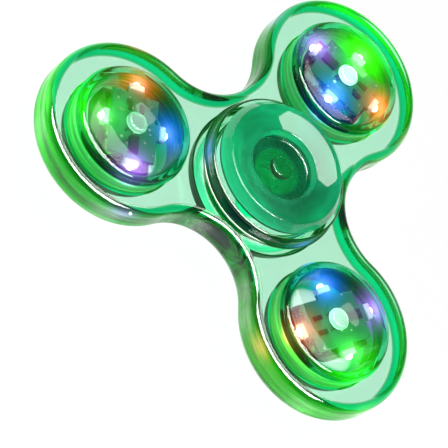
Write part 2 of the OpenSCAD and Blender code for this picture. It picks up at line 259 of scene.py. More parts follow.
class Skin:
    """Triangles with their own corner normals, gathered from surfaces that share their borders exactly."""

    def __init__(self):
        self.points, self.normals = [], []

    def grid(self, points, normals):
        """Adds a surface sampled on a grid: each cell becomes two triangles."""
        for pick in (((0, 0), (1, 0), (1, 1)), ((0, 0), (1, 1), (0, 1))):
            for store, values in ((self.points, points), (self.normals, normals)):
                rows, columns = values.shape[0] - 1, values.shape[1] - 1
                corner = [values[i : i + rows, j : j + columns].reshape(-1, 3) for i, j in pick]
                store.append(np.stack(corner, 1))

    def revolve(self, profile, place=np.eye(4), steps=None):
        """Turns a profile about Z: (r cos t, r sin t, z) for t over a full turn, then moves it by place."""
        t = np.linspace(0, 2 * np.pi, (steps or sizes().arc_steps) + 1)
        for points, normals in profile:
            shapes = []
            for pair in (points, normals):
                r, z = pair[:, :1], pair[:, 1:]
                shapes.append(np.stack([r * np.cos(t), r * np.sin(t), z + 0 * t], 2))
            self.grid(shapes[0] @ place[:3, :3].T + place[:3, 3], shapes[1] @ place[:3, :3].T)

    def flat(self, rings, height, up):
        """Fills the plane at a height between the first ring and the others, which are round holes.

        A triangle with all its corners on one round ring lies in that hole, as a circle is convex.
        """
        places = np.concatenate(rings)
        starts = np.cumsum([0] + [len(ring) for ring in rings])
        edges = [
            (int(a + i), int(a + (i + 1) % (b - a)))
            for a, b in zip(starts[:-1], starts[1:])
            for i in range(b - a)
        ]
        found = delaunay_2d_cdt([Vector(place) for place in places / MM], edges, [], 1, 1e-7)
        chosen = np.array([[found[3][corner][0] for corner in triangle] for triangle in found[2]])
        ring_of = np.searchsorted(starts, chosen, side="right")
        hole = (ring_of[:, 0] > 1) & (ring_of == ring_of[:, :1]).all(1)
        flat_points = places[chosen[~hole]]
        self.points.append(np.concatenate([flat_points, np.full((*flat_points.shape[:2], 1), height)], 2))
        self.normals.append(np.tile([0.0, 0.0, 1.0 if up else -1.0], (*flat_points.shape[:2], 1)))

    def mesh(self, name, glow=None, tint=None, pick=None):
        """Welds the shared borders, turns every triangle outwards and makes the mesh.

        From places and normals, glow gives each corner's spilled light, tint the colour that passes its
        surface, which carries the painted shade on the shells' sides and bends, and pick each triangle's
        material.
        """
        points, normals = np.concatenate(self.points), np.concatenate(self.normals)
        keys = np.round(points.reshape(-1, 3) * 1e8 + 0.137).astype(np.int64)
        _, first, index = np.unique(keys, axis=0, return_index=True, return_inverse=True)
        places = points.reshape(-1, 3)[first]
        tris = index.reshape(-1, 3)
        good = (tris[:, 0] != tris[:, 1]) & (tris[:, 1] != tris[:, 2]) & (tris[:, 0] != tris[:, 2])
        tris, normals = tris[good], normals[good]
        a, b, c = (places[tris[:, i]] for i in range(3))
        flip = np.einsum("ij,ij->i", np.cross(b - a, c - a), normals.mean(1)) < 0
        tris[flip] = tris[flip][:, ::-1]
        normals[flip] = normals[flip][:, ::-1]
        sides = np.sort(np.concatenate([tris[:, [0, 1]], tris[:, [1, 2]], tris[:, [2, 0]]]), axis=1)
        _, shared = np.unique(sides, axis=0, return_counts=True)
        if (shared != 2).any():
            raise RuntimeError(f"{name} is open: {int((shared != 2).sum())} edges don't join two faces")
        mesh = bpy.data.meshes.new(name)
        mesh.vertices.add(len(places))
        mesh.vertices.foreach_set("co", places.astype(np.float32).ravel())
        mesh.loops.add(tris.size)
        mesh.loops.foreach_set("vertex_index", tris.astype(np.int32).ravel())
        mesh.polygons.add(len(tris))
        mesh.polygons.foreach_set("loop_start", np.arange(0, tris.size, 3, dtype=np.int32))
        mesh.polygons.foreach_set("use_smooth", np.ones(len(tris), bool))
        mesh.update(calc_edges=True)
        mesh.normals_split_custom_set(normals.reshape(-1, 3).tolist())
        for label, shade in (("glow", glow), ("tint", tint)):
            if shade is not None:
                layer = mesh.color_attributes.new(label, "FLOAT_COLOR", "CORNER")
                values = shade(places[tris].reshape(-1, 3), normals.reshape(-1, 3))
                rgba = np.concatenate([values, np.ones((len(values), 1))], 1)
                layer.data.foreach_set("color", rgba.astype(np.float32).ravel())
        if pick is not None:
            chosen = pick(places[tris].mean(1), normals.mean(1))
            mesh.polygons.foreach_set("material_index", chosen.astype(np.int32))
        return mesh


def make(name, skin, body, materials, slot, *replaced, **layers):
    """Makes the object of a skin, which rides on a body and stands for CAD nodes."""
    piece = bpy.data.objects.new(name, skin.mesh(name, **layers))
    bpy.context.scene.collection.objects.link(piece)
    for finish in materials:
        piece.data.materials.append(material_named(finish))
    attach(piece, body)
    if replaced:
        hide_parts(*replaced)
    return piece


def dress(node, material):
    """Gives a CAD node's mesh a material."""
    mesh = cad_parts[node].data
    mesh.materials.clear()
    mesh.materials.append(material)


def turn(angle):
    """4x4 turn about Z by an angle in degrees."""
    return np.array(Matrix.Rotation(math.radians(angle), 4, "Z"))


def at_lobe(lobe):
    """4x4 place of a lobe: its centre, with X pointing away from the hub."""
    shift = np.eye(4)
    shift[0, 3] = ARM
    return turn(120 * (lobe - 1)) @ shift


def mirrored(profile):
    """A profile turned over the mid-plane."""
    flip = np.array([1, -1])
    return [(points[::-1] * flip, normals[::-1] * flip) for points, normals in profile[::-1]]


# ---------------------------------------------------------------- glow


def spilled(reach, strength, flats=1.0, core=0.0, beam=0.0, passed=(1, 1, 1), lobes=LOBES):
    """Light that the lamps spill into a shell.

    It is each lamp's colour times exp(-(distance / reach)^2), and a paler core with half the reach. The
    beam is a lamp's light at a distance a along its outward direction and b off it, which is
    exp(-a / 7 mm) exp(-(b / (1 mm + a / 8))^2).
    A face with normal n keeps a share of 1 - (1 - flats) n_z^2, as light runs along inside the shell
    and leaves at its edges. The lamp that points outwards reaches furthest, and the one next to the hub
    a little further than those at the sides. What a tinted shell lets through, passed, holds for all but
    the beam.
    """

    def light(places, normals):
        wide, narrow = np.zeros((2, len(places), 3))
        for k in lobes:
            for lamp, further in zip(LAMPS, (1.6, 1.0, 1.1, 1.0)):
                spot = middle(f"led_{lamp}_{k}")
                outwards = spot - at_lobe(k)[:3, 3]
                outwards[2] = 0
                outwards /= np.linalg.norm(outwards)
                away = places - spot
                far = np.linalg.norm(away, axis=1)
                shade = np.array(getattr(colours(), lamp))
                wide += np.exp(-((far / reach / further) ** 2))[:, None] * shade
                wide += core * np.exp(-((far / reach * 2) ** 2))[:, None] * (shade + 0.3)
                along = away @ outwards
                off = np.sqrt(np.maximum(far**2 - along**2, 0)) / (1 * MM + np.maximum(along, 0) / 8)
                thrown = np.where(along > 0, np.exp(-along / (7 * MM)), 0) * np.exp(-(off**2))
                narrow += beam * thrown[:, None] * (shade + 0.15)
        leaving = 1 - (1 - flats) * normals[:, 2:] ** 2
        return (wide * np.array(passed) + narrow) * leaving * strength * colours().glow

    return light


def steady(shade):
    """The same colour all over a shell."""
    return lambda places, normals: np.tile(shade, (len(places), 1))


def dish_light(places, normals):
    """Light that leaves a cap: all of it in the dish, less in the recess, and least at upright faces."""
    away = np.hypot(places[:, 0], places[:, 1])
    share = np.where(away > sizes().recess_radius, 1.0, 0.3) * (0.12 + 0.88 * normals[:, 2] ** 2)
    return share[:, None] * np.array(colours().cap_glow)


def edge_shaded(shade, sharpness):
    """Painted shade of a shell: clear where it faces straight up or down, and the shade painted on its sides
    and bends, where light runs a longer way through the plastic.

    The share of the shade is (1 - |n_z|) times the sharpness, up to 1. Around the hub it counts three times,
    so the hub is painted darker.
    """

    def passed(places, normals):
        share = np.clip((1 - np.abs(normals[:, 2:])) * sharpness, 0, 1)
        hub = np.hypot(places[:, :1], places[:, 1:2]) < sizes().boss_radius + sizes().boss_fillet
        return (1 + share * (np.array(shade) - 1)) ** np.where(hub, 3, 1)

    return passed


# ---------------------------------------------------------------- shader groups


def new_group(name, inputs, outputs):
    """An empty shader node group with named inputs (name, kind, value) and outputs (name, kind)."""
    group = bpy.data.node_groups.new(name, "ShaderNodeTree")
    for label, kind, value in inputs:
        group.interface.new_socket(name=label, in_out="INPUT", socket_type=kind).default_value = value
    for label, kind in outputs:
        group.interface.new_socket(name=label, in_out="OUTPUT", socket_type=kind)
    return group, group.nodes.new("NodeGroupInput"), group.nodes.new("NodeGroupOutput")


def node(tree, kind, inputs=None, **settings):
    """A node with its settings and input values. An input given as a socket is linked."""
    made = tree.nodes.new(kind)
    for key, value in settings.items():
        setattr(made, key, value)
    for key, value in (inputs or {}).items():
        if isinstance(value, bpy.types.NodeSocket):
            tree.links.new(value, made.inputs[key])
        else:
            made.inputs[key].default_value = value
    return made


def noise(tree, vector, scale, detail, **inputs):
    """Cloudy noise over a vector."""
    inputs.update({"Vector": vector, "Scale": scale, "Detail": detail})
    return node(tree, "ShaderNodeTexNoise", inputs).outputs["Fac"]


def spread(tree, value, low, high, to_low=0.0, to_high=1.0, **settings):
    """A value moved from the range low to high to the range to_low to to_high."""
    ends = {"From Min": low, "From Max": high, "To Min": to_low, "To Max": to_high}
    return node(tree, "ShaderNodeMapRange", {"Value": value, **ends}, **settings).outputs["Result"]


def mixed(tree, share, first, second):
    """Two colours mixed by a share."""
    return node(tree, "ShaderNodeMixRGB", {"Fac": share, "Color1": first, "Color2": second}).outputs["Color"]


def combined(tree, operation, first, second):
    """Vector arithmetic: MULTIPLY or ADD of two vectors, or SCALE of one by a number."""
    inputs = {0: first, "Scale" if operation == "SCALE" else 1: second}
    return node(tree, "ShaderNodeVectorMath", inputs, operation=operation).outputs["Vector"]


def size_of(tree, vector):
    """A vector's length."""
    return node(tree, "ShaderNodeVectorMath", {0: vector}, operation="LENGTH").outputs["Value"]


def handling_group():
    """Fine hair scratches and finger smudges on a polished surface."""
    group, into, out = new_group(
        "Handling marks",
        [
            ("Vector", "NodeSocketVector", (0, 0, 0)),
            ("Scratch Scale", "NodeSocketFloat", 600.0),
            ("Smudge Scale", "NodeSocketFloat", 120.0),
            ("Roughness Low", "NodeSocketFloat", 0.0),
            ("Roughness High", "NodeSocketFloat", 0.08),
        ],
        [("Roughness", "NodeSocketFloat"), ("Height", "NodeSocketFloat")],
    )
    place, low, high = (into.outputs[label] for label in ("Vector", "Roughness Low", "Roughness High"))
    smudge = noise(group, place, into.outputs["Smudge Scale"], 3.0)
    soft = spread(group, smudge, 0.45, 0.75, low, high)
    along = {"Vector": place, "Rotation": (0.3, 0.2, 0.9), "Scale": (1, 0.04, 1)}
    stretch = node(group, "ShaderNodeMapping", along)
    hairs = noise(group, stretch.outputs["Vector"], into.outputs["Scratch Scale"], 2.0)
    thin = spread(group, hairs, 0.68, 0.74)
    group.links.new(soft, out.inputs["Roughness"])
    group.links.new(thin, out.inputs["Height"])
    return group


def streak_group():
    """Bright and dark lines that run level round a shell, as light trapped inside it leaves in bands."""
    group, into, out = new_group(
        "Edge streaks",
        [
            ("Vector", "NodeSocketVector", (0, 0, 0)),
            ("Low", "NodeSocketFloat", 0.35),
            ("High", "NodeSocketFloat", 1.7),
        ],
        [("Mask", "NodeSocketFloat"), ("Sparks", "NodeSocketColor")],
    )
    place, low, high = (into.outputs[label] for label in ("Vector", "Low", "High"))
    squeezed = node(group, "ShaderNodeMapping", {"Vector": place, "Scale": (60, 60, 900)})
    lines = noise(group, squeezed.outputs["Vector"], 1.0, 3.0, Roughness=0.6)
    level = spread(group, lines, 0.35, 0.68, low, high, interpolation_type="SMOOTHSTEP")
    cells = node(group, "ShaderNodeTexVoronoi", {"Vector": place, "Scale": 420.0})
    dots = spread(group, cells.outputs["Distance"], 0.1, 0.2, 6.0, 0.0)
    pale = mixed(group, 0.65, cells.outputs["Color"], (1.0, 0.9, 0.6, 1))
    sparks = combined(group, "SCALE", pale, dots)
    group.links.new(level, out.inputs["Mask"])
    group.links.new(sparks, out.inputs["Sparks"])
    return group


def lathe_group():
    """Fine rings round an axis, as turning or grinding leaves them, with small changes of brightness."""
    group, into, out = new_group(
        "Lathe rings",
        [
            ("Vector", "NodeSocketVector", (0, 0, 0)),
            ("Rings", "NodeSocketFloat", 9000.0),
            ("Dark", "NodeSocketColor", (0.5, 0.5, 0.5, 1)),
            ("Bright", "NodeSocketColor", (0.8, 0.8, 0.8, 1)),
        ],
        [("Color", "NodeSocketColor"), ("Roughness", "NodeSocketFloat"), ("Height", "NodeSocketFloat")],
    )
    away = combined(group, "MULTIPLY", into.outputs["Vector"], (1, 1, 0))
    radius = {0: size_of(group, away), 1: into.outputs["Rings"]}
    spot = node(group, "ShaderNodeMath", radius, operation="MULTIPLY").outputs["Value"]
    inputs = {"W": spot, "Scale": 1.0, "Detail": 2.0}
    rings = node(group, "ShaderNodeTexNoise", inputs, noise_dimensions="1D").outputs["Fac"]
    tone = mixed(group, rings, into.outputs["Dark"], into.outputs["Bright"])
    rough = spread(group, rings, 0.0, 1.0, 0.18, 0.42)
    group.links.new(tone, out.inputs["Color"])
    group.links.new(rough, out.inputs["Roughness"])
    group.links.new(rings, out.inputs["Height"])
    return group


def grain_group():
    """Fine moulded grain with slow changes of tone."""
    group, into, out = new_group(
        "Moulded grain",
        [
            ("Vector", "NodeSocketVector", (0, 0, 0)),
            ("Scale", "NodeSocketFloat", 4000.0),
            ("Dark", "NodeSocketColor", (0.02, 0.02, 0.02, 1)),
            ("Bright", "NodeSocketColor", (0.06, 0.06, 0.06, 1)),
        ],
        [("Color", "NodeSocketColor"), ("Roughness", "NodeSocketFloat"), ("Height", "NodeSocketFloat")],
    )
    grains = noise(group, into.outputs["Vector"], into.outputs["Scale"], 4.0)
    clouds = noise(group, into.outputs["Vector"], 300.0, 2.0)
    tone = mixed(group, clouds, into.outputs["Dark"], into.outputs["Bright"])
    rough = spread(group, grains, 0.0, 1.0, 0.4, 0.65)
    group.links.new(tone, out.inputs["Color"])
    group.links.new(rough, out.inputs["Roughness"])
    group.links.new(grains, out.inputs["Height"])
    return group


def group_named(name):
    """A shader group by name, made the first time it is asked for."""
    makers = {
        "Handling marks": handling_group,
        "Edge streaks": streak_group,
        "Lathe rings": lathe_group,
        "Moulded grain": grain_group,
    }
    return bpy.data.node_groups.get(name) or makers[name]()


# ---------------------------------------------------------------- materials


def blank_material(name):
    """A new material, its tree, its Principled shader and its object coordinates."""
    material = bpy.data.materials.new(name)
    material.use_nodes = True
    tree = material.node_tree
    shader = tree.nodes["Principled BSDF"]
    place = tree.nodes.new("ShaderNodeTexCoord").outputs["Object"]
    return material, tree, shader, place


def use_group(tree, name, place, **inputs):
    """Places a shader group in a material with its own values."""
    made = tree.nodes.new("ShaderNodeGroup")
    made.node_tree = group_named(name)
    tree.links.new(place, made.inputs["Vector"])
    for key, value in inputs.items():
        made.inputs[key.replace("_", " ")].default_value = value
    return made


def raise_bump(tree, shader, height, distance, strength=0.5):
    """Feeds a height into the shader's normal."""
    bump = node(tree, "ShaderNodeBump", {"Height": height, "Distance": distance, "Strength": strength})
    tree.links.new(bump.outputs["Normal"], shader.inputs["Normal"])


def clear_plastic(name, passed, roughness=0.04, smooth=0.0, clearness=1.0, bending=1.49, spark_from=9.0):
    """Polished clear plastic. Light kept after 10 mm sets the absorption: passed = exp(-density 0.01)."""
    material, tree, shader, place = blank_material(name)
    marks = use_group(tree, "Handling marks", place, Roughness_Low=smooth, Roughness_High=roughness)
    tree.links.new(marks.outputs["Roughness"], shader.inputs["Roughness"])
    raise_bump(tree, shader, marks.outputs["Height"], 0.000004, 0.15)
    shader.inputs["Metallic"].default_value = 0.0
    shader.inputs["IOR"].default_value = bending
    shader.inputs["Transmission Weight"].default_value = clearness
    lost = -np.log(np.clip(np.array(passed), 1e-4, 0.999)) / 0.01
    volume = tree.nodes.new("ShaderNodeVolumeAbsorption")
    volume.inputs["Density"].default_value = float(lost.max())
    volume.inputs["Color"].default_value = (*(1 - lost / lost.max()), 1)
    tree.links.new(volume.outputs["Volume"], tree.nodes["Material Output"].inputs["Volume"])
    streaks = use_group(tree, "Edge streaks", place)
    spill = node(tree, "ShaderNodeAttribute", attribute_name="glow")
    broken = combined(tree, "MULTIPLY", spill.outputs["Color"], streaks.outputs["Mask"])
    strong = spread(tree, size_of(tree, spill.outputs["Color"]), spark_from, spark_from + 0.3)
    glint = combined(tree, "SCALE", streaks.outputs["Sparks"], strong)
    tree.links.new(combined(tree, "ADD", broken, glint), shader.inputs["Emission Color"])
    # Base colour from the tint layer, which holds the painted shade on the sides and bends of the shells
    tint = node(tree, "ShaderNodeAttribute", attribute_name="tint")
    tree.links.new(tint.outputs["Color"], shader.inputs["Base Color"])
    shader.inputs["Emission Strength"].default_value = 1.0
    return material


def turned_steel(name, dark, bright, rings=9000.0):
    """Ground steel with fine rings."""
    material, tree, shader, place = blank_material(name)
    marks = use_group(tree, "Lathe rings", place, Rings=rings, Dark=(*dark, 1), Bright=(*bright, 1))
    tree.links.new(marks.outputs["Color"], shader.inputs["Base Color"])
    tree.links.new(marks.outputs["Roughness"], shader.inputs["Roughness"])
    raise_bump(tree, shader, marks.outputs["Height"], 0.00001, 0.4)
    shader.inputs["Metallic"].default_value = 1.0
    return material


def plated_metal(name, tone, roughness=0.16):
    """Plated metal with smudges and hair scratches."""
    material, tree, shader, place = blank_material(name)
    rough = {"Roughness_Low": roughness, "Roughness_High": roughness * 2.2}
    marks = use_group(tree, "Handling marks", place, Smudge_Scale=400.0, **rough)
    tree.links.new(marks.outputs["Roughness"], shader.inputs["Roughness"])
    raise_bump(tree, shader, marks.outputs["Height"], 0.00001, 0.4)
    shader.inputs["Base Color"].default_value = (*tone, 1)
    shader.inputs["Metallic"].default_value = 1.0
    return material


def moulded_plastic(name, dark, bright):
    """Matt moulded plastic with a fine grain."""
    material, tree, shader, place = blank_material(name)
    marks = use_group(tree, "Moulded grain", place, Dark=(*dark, 1), Bright=(*bright, 1))
    tree.links.new(marks.outputs["Color"], shader.inputs["Base Color"])
    tree.links.new(marks.outputs["Roughness"], shader.inputs["Roughness"])
    raise_bump(tree, shader, marks.outputs["Height"], 0.00002, 0.4)
    return material


def board_material():
    """Green solder mask with copper tracks under it and bare tinned pads."""
    material, tree, shader, place = blank_material("Circuit board")
    weave = use_group(tree, "Moulded grain", place, Dark=(0.02, 0.13, 0.08, 1), Bright=(0.03, 0.20, 0.12, 1))
    black, white = (0, 0, 0, 1), (1, 1, 1, 1)
    bricks = {"Vector": place, "Scale": 700.0, "Mortar Size": 0.06}
    bricks.update({"Color1": black, "Color2": black, "Mortar": white})
    tracks = node(tree, "ShaderNodeTexBrick", bricks, offset=0.35).outputs["Color"]
    pads = node(tree, "ShaderNodeTexVoronoi", {"Vector": place, "Scale": 620.0})
    round_pad = spread(tree, pads.outputs["Distance"], 0.16, 0.2, 1.0, 0.0)
    tracked = mixed(tree, tracks, weave.outputs["Color"], (0.03, 0.22, 0.08, 1))
    finished = mixed(tree, round_pad, tracked, (0.75, 0.72, 0.6, 1))
    tree.links.new(finished, shader.inputs["Base Color"])
    tree.links.new(round_pad, shader.inputs["Metallic"])
    raise_bump(tree, shader, tracks, 0.00003, 0.5)
    shader.inputs["Roughness"].default_value = 0.3
    shader.inputs["Coat Weight"].default_value = 0.4
    return material


def lamp_lens(lamp):
    """Lit lens: its lamp's colour, made paler in fine facets."""
    material, tree, shader, place = blank_material(f"Lamp lens {lamp}")
    facets = node(tree, "ShaderNodeTexVoronoi", {"Vector": place, "Scale": 2500.0})
    shade = getattr(colours(), lamp)
    deep = (*(0.8 * c + 0.15 for c in shade), 1)
    pale = (*(0.5 * c + 0.5 for c in shade), 1)
    tint = mixed(tree, facets.outputs["Distance"], deep, pale)
    tree.links.new(tint, shader.inputs["Emission Color"])
    tree.links.new(tint, shader.inputs["Base Color"])
    shader.inputs["Emission Strength"].default_value = colours().lamp_power
    shader.inputs["Roughness"].default_value = 0.2
    return material


def material_named(name):
    """One of the shared materials, made the first time it is asked for."""
    tints = colours()
    makers = {
        "Clear green body": lambda: clear_plastic(name, tints.body, spark_from=0.3),
        # Bore walls: mostly opaque green, so the painted shade and the painted glow show on them
        "Opaque green bore with painted glow": lambda: clear_plastic(name, tints.body, 0.5, 0.35, 0.1, 1.1),
        "Clear green cap": lambda: clear_plastic(name, tints.cap),
        "Frosted green cap": lambda: clear_plastic(name, tints.cap, 0.5, 0.3),
        "Clear green module": lambda: clear_plastic(name, tints.module, bending=1.3),
        "Clear button": lambda: clear_plastic(name, tints.button, 0.3, 0.1),
        "Ground steel": lambda: turned_steel(name, (0.42, 0.43, 0.44), (0.72, 0.73, 0.74)),
        "Ball steel": lambda: plated_metal(name, (0.8, 0.81, 0.82), 0.06),
        "Cage steel": lambda: turned_steel(name, (0.35, 0.34, 0.32), (0.55, 0.54, 0.5), 4000.0),
        "Cell can": lambda: plated_metal(name, (0.62, 0.62, 0.6), 0.22),
        "Brass strip": lambda: plated_metal(name, (0.72, 0.52, 0.2), 0.25),
        "Tinned strip": lambda: plated_metal(name, (0.66, 0.66, 0.64), 0.28),
        "Black plastic": lambda: moulded_plastic(name, (0.008, 0.008, 0.009), (0.03, 0.03, 0.032)),
        "Lamp housing": lambda: moulded_plastic(name, (0.6, 0.6, 0.58), (0.82, 0.82, 0.8)),
        "Circuit board": board_material,
    }
    for lamp in LAMPS:
        makers[f"Lamp lens {lamp}"] = lambda lamp=lamp: lamp_lens(lamp)
    return bpy.data.materials.get(name) or makers[name]()


# ---------------------------------------------------------------- outline of the body


def body_outline(inset):
    """Rings of the three-lobed outline moved inwards, and its outward directions.

    Each lobe is an arc of radius r about its centre. Each waist is an arc of radius q about a point on
    the line between two lobes, where q makes the two arcs touch: (r + q)^2 = A^2 + (w + q)^2 - A (w + q).
    """
    s = sizes()
    r, w = s.lobe_radius, s.waist_radius
    q = (ARM**2 + w**2 - ARM * w - r**2) / (ARM + 2 * r - 2 * w)
    reach = w + q
    half = math.atan2(reach * math.sin(math.pi / 3), reach * math.cos(math.pi / 3) - ARM)
    lobe_steps, waist_steps = s.arc_steps // 2, s.arc_steps // 5
    points, away = [], []
    for k in LOBES:
        facing = 2 * math.pi / 3 * (k - 1)
        between = facing + math.pi / 3
        a = np.linspace(facing - half, facing + half, lobe_steps + 1)
        b = between + math.pi + (half - math.pi / 3) * np.linspace(1, -1, waist_steps + 1)[1:-1]
        for angles, distance, at, radius, sign in (
            (a, ARM, facing, r - inset, 1),
            (b, reach, between, q + inset, -1),
        ):
            ray = np.stack([np.cos(angles), np.sin(angles)], 1)
            points.append(distance * np.array([math.cos(at), math.sin(at)]) + radius * ray)
            away.append(sign * ray)
    return np.concatenate(points), np.concatenate(away)


def closed(grid):
    """A grid of rings with each ring's first point repeated at its end."""
    return np.concatenate([grid, grid[:, :1]], 1)


def circle(centre, radius):
    """Ring of points round a centre, at the same steps as a turned surface."""
    t = np.linspace(0, 2 * np.pi, sizes().arc_steps + 1)[:-1]
    return centre + radius * np.stack([np.cos(t), np.sin(t)], 1)


def body_skin():
    """The body: two flats, a rounded rim along the outline, the boss with its seat, and three bores."""
    s = sizes()
    skin = Skin()
    half = s.frame_thickness / 2
    e = s.edge_radius
    # The rim: a profile carried along the outline, as inset and height at each point
    rim = [
        bend((-e, e - half), e, -90, 0),
        line((0, e - half), (0, half - e), 4),
        bend((-e, half - e), e, 0, 90),
    ]
    for points, normals in rim:
        rows = [body_outline(-inset)[0] for inset in points[:, 0]]
        away = body_outline(0)[1]
        surface = np.stack(
            [np.column_stack([ring, np.full(len(ring), z)]) for ring, z in zip(rows, points[:, 1])]
        )
        facing = np.stack([np.column_stack([away * n, np.full(len(away), m)]) for n, m in normals])
        skin.grid(closed(surface), closed(facing))
    # The boss, from the front flat over its top, down the bearing seat and round to the rear flat
    f, top, b = s.boss_fillet, FRAME_HIGH[2], s.boss_radius
    seat = RACE_HIGH[0] + s.press_gap
    bevel = 0.25 * MM
    floor = RACE_LOW[2]
    outside = [
        bend((b + f, half + f), f, 270, 180, 8),
        line((b, half + f), (b, top - f)),
        bend((b - f, top - f), f, 0, 90, 8),
    ]
    front = outside + joined((b - f, top), (seat + bevel, top), (seat, top - bevel), (seat, floor))
    rear = mirrored(outside)
    inner = joined((seat, floor), (s.shoulder_radius, floor), (s.shoulder_radius, -top), start_of(rear[0]))
    skin.revolve(front + inner + rear)
    bore = (DOME_HIGH[1] - DOME_LOW[1]) / 2 + s.module_gap
    mouth = bore + s.bore_edge
    wall = joined((mouth, half), (bore, half - s.bore_edge))
    for k in LOBES:
        lining = wall + [line(end_of(wall[-1]), (bore, -end_of(wall[-1])[1]), 6)] + mirrored(wall)
        skin.revolve(lining, at_lobe(k))
    turned = [circle(np.zeros(2), mouth) @ at_lobe(k)[:2, :2].T + at_lobe(k)[:2, 3] for k in LOBES]
    rings = [body_outline(e)[0], *turned, circle(np.zeros(2), b + f)]
    skin.flat(rings, half, True)
    skin.flat(rings, -half, False)
    return skin


# ---------------------------------------------------------------- caps, modules and bearing profiles


def cap_profile(front):
    """Finger cap: disc with rim, dish, recess and nub, a spacer, and a stem with a peg or its socket."""
    s = sizes()
    top, under, low = CAP_HIGH[2], s.cap_under, RACE_HIGH[2]
    r, rim, dish = CAP_HIGH[0], s.cap_rim, s.dish_radius
    edge, soft = 0.3 * MM, 0.35 * MM
    dish_low = top - s.dish_depth
    floor = dish_low - s.recess_depth
    gap = s.press_gap
    stem = s.bearing_bore - gap
    if front:
        foot = joined((0, CAP_LOW[2]), (s.peg_radius - gap, CAP_LOW[2]), (s.peg_radius, CAP_LOW[2] + gap))
        foot += joined((s.peg_radius, CAP_LOW[2] + gap), (s.peg_radius, gap), (stem, gap))
    else:
        socket = s.peg_radius + gap
        foot = joined((0, -CAP_LOW[2] + gap), (socket, -CAP_LOW[2] + gap), (socket, gap), (stem, gap))
    foot += joined(
        (stem, gap), (stem, low), (s.spacer_radius, low), (s.spacer_radius, under), (r - edge, under)
    )
    shoulder = bend((rim - edge, top - edge), edge, 18, 90, 6)
    rounded = bend((r - edge, under + edge), edge, -90, 18, 8)
    side = line(end_of(rounded), start_of(shoulder))
    # The dish is part of a ball whose radius is (R^2 - r^2) / 2 depth between its rim R and the recess r
    bowl_r = (dish**2 - (s.recess_radius + soft) ** 2) / (2 * s.dish_depth)
    swing = [math.degrees(math.asin(edge_r / bowl_r)) for edge_r in (dish, s.recess_radius + soft)]
    scoop = bend(
        (0, top + bowl_r * math.cos(math.radians(swing[0]))), bowl_r, swing[0] - 90, swing[1] - 90, 16
    )
    lip = bend((s.recess_radius + soft, dish_low - soft), soft, 90, 165, 6)
    cove = bend((s.recess_radius - 1.0 * MM, floor + soft), soft, -15, -90, 6)
    nub_side = bend((s.nub_radius - soft, floor + s.nub_height - soft), soft, 0, 90, 8)
    nub = [
        line((s.nub_radius, floor), start_of(nub_side)),
        nub_side,
        line(end_of(nub_side), (0, floor + s.nub_height)),
    ]
    return (
        foot
        + [
            rounded,
            side,
            shoulder,
            line(end_of(shoulder), start_of(scoop)),
            scoop,
            line(end_of(scoop), start_of(lip)),
            lip,
        ]
        + [line(end_of(lip), start_of(cove)), cove, line(end_of(cove), (s.nub_radius, floor))]
        + nub
    )


def dome_profile():
    """Dome shell: parting face, side, crown, dimple, button hole, roof, inner side and rabbet."""
    s = sizes()
    r = (DOME_HIGH[1] - DOME_LOW[1]) / 2
    side_top = s.frame_thickness / 2 + s.dome_side
    top = side_top + s.dome_crown
    hole = s.button_radius + s.button_gap
    roof = top - s.crown_wall
    inner_r = r - s.shell_wall
    inner_foot = side_top - 0.3 * MM
    rabbet = r - s.shell_wall / 2
    # The dimple is a ball of radius B whose lowest point lies dimple_depth below the top
    ball = (s.dimple_radius**2 + s.dimple_depth**2) / (2 * s.dimple_depth)
    dimple_low = top - s.dimple_depth
    outer = crown(r, side_top, s.dome_crown, steps=40)
    gap_to_ball = np.hypot(outer[0][:, 0], dimple_low + ball - outer[0][:, 1]) - ball
    last = int(np.argmax(gap_to_ball < 0))
    outer = (outer[0][:last], outer[1][:last])
    lip_r = outer[0][-1, 0]
    swing = np.degrees(np.arcsin(np.array([lip_r, hole]) / ball))
    bowl = bend((0, dimple_low + ball), ball, -90 + swing[0], -90 + swing[1], 10)
    bowl[0][0] = outer[0][-1]
    inner = crown(inner_r, inner_foot, roof - inner_foot, steps=40)
    cut = int(np.argmax(inner[0][:, 0] < hole))
    inner = (inner[0][:cut], inner[1][:cut])
    hole_low = (hole, inner[0][-1, 1])
    inner[0][-1] = hole_low
    rim_z = s.parting + s.spigot
    return [
        line((rabbet, s.parting), (r, s.parting)),
        line((r, s.parting), (r, side_top), 4),
        outer,
        bowl,
        line(end_of(bowl), hole_low),
        backwards(inner),
        *joined((inner_r, inner_foot), (inner_r, rim_z), (rabbet, rim_z), (rabbet, s.parting)),
    ]


def cover_profile():
    """Rear cover, described upside down: parting face, side, crown, inner crown, inner side and spigot."""
    s = sizes()
    r = (COVER_HIGH[1] - COVER_LOW[1]) / 2
    side_top = s.frame_thickness / 2 + s.cover_side
    top = -COVER_LOW[2]
    inner_r, foot = r - s.shell_wall, side_top - 0.3 * MM
    gap = s.press_gap
    spigot_r = r - s.shell_wall / 2 - gap
    inner = crown(inner_r, foot, top - s.crown_wall - foot, steps=40)
    return [
        line((spigot_r, gap - s.parting), (r, gap - s.parting)),
        line((r, gap - s.parting), (r, side_top), 4),
        crown(r, side_top, top - side_top, steps=40),
        backwards(inner),
        *joined(
            (inner_r, foot),
            (inner_r, gap - s.parting - s.spigot),
            (spigot_r, gap - s.parting - s.spigot),
            (spigot_r, gap - s.parting),
        ),
    ]


def button_profile():
    """Push button: flange, shank and a rounded top."""
    s = sizes()
    low, high = BUTTON_LOW[2], BUTTON_HIGH[2]
    flange = (BUTTON_HIGH[1] - BUTTON_LOW[1]) / 2
    shank, thick, soft = s.button_radius, s.flange_thickness, 0.15 * MM
    top = bend((shank - soft, high - soft), soft, 0, 90, 6)
    return joined((0, low), (flange, low), (flange, low + thick), (shank, low + thick), start_of(top)) + [
        top,
        line(end_of(top), (0, high)),
    ]


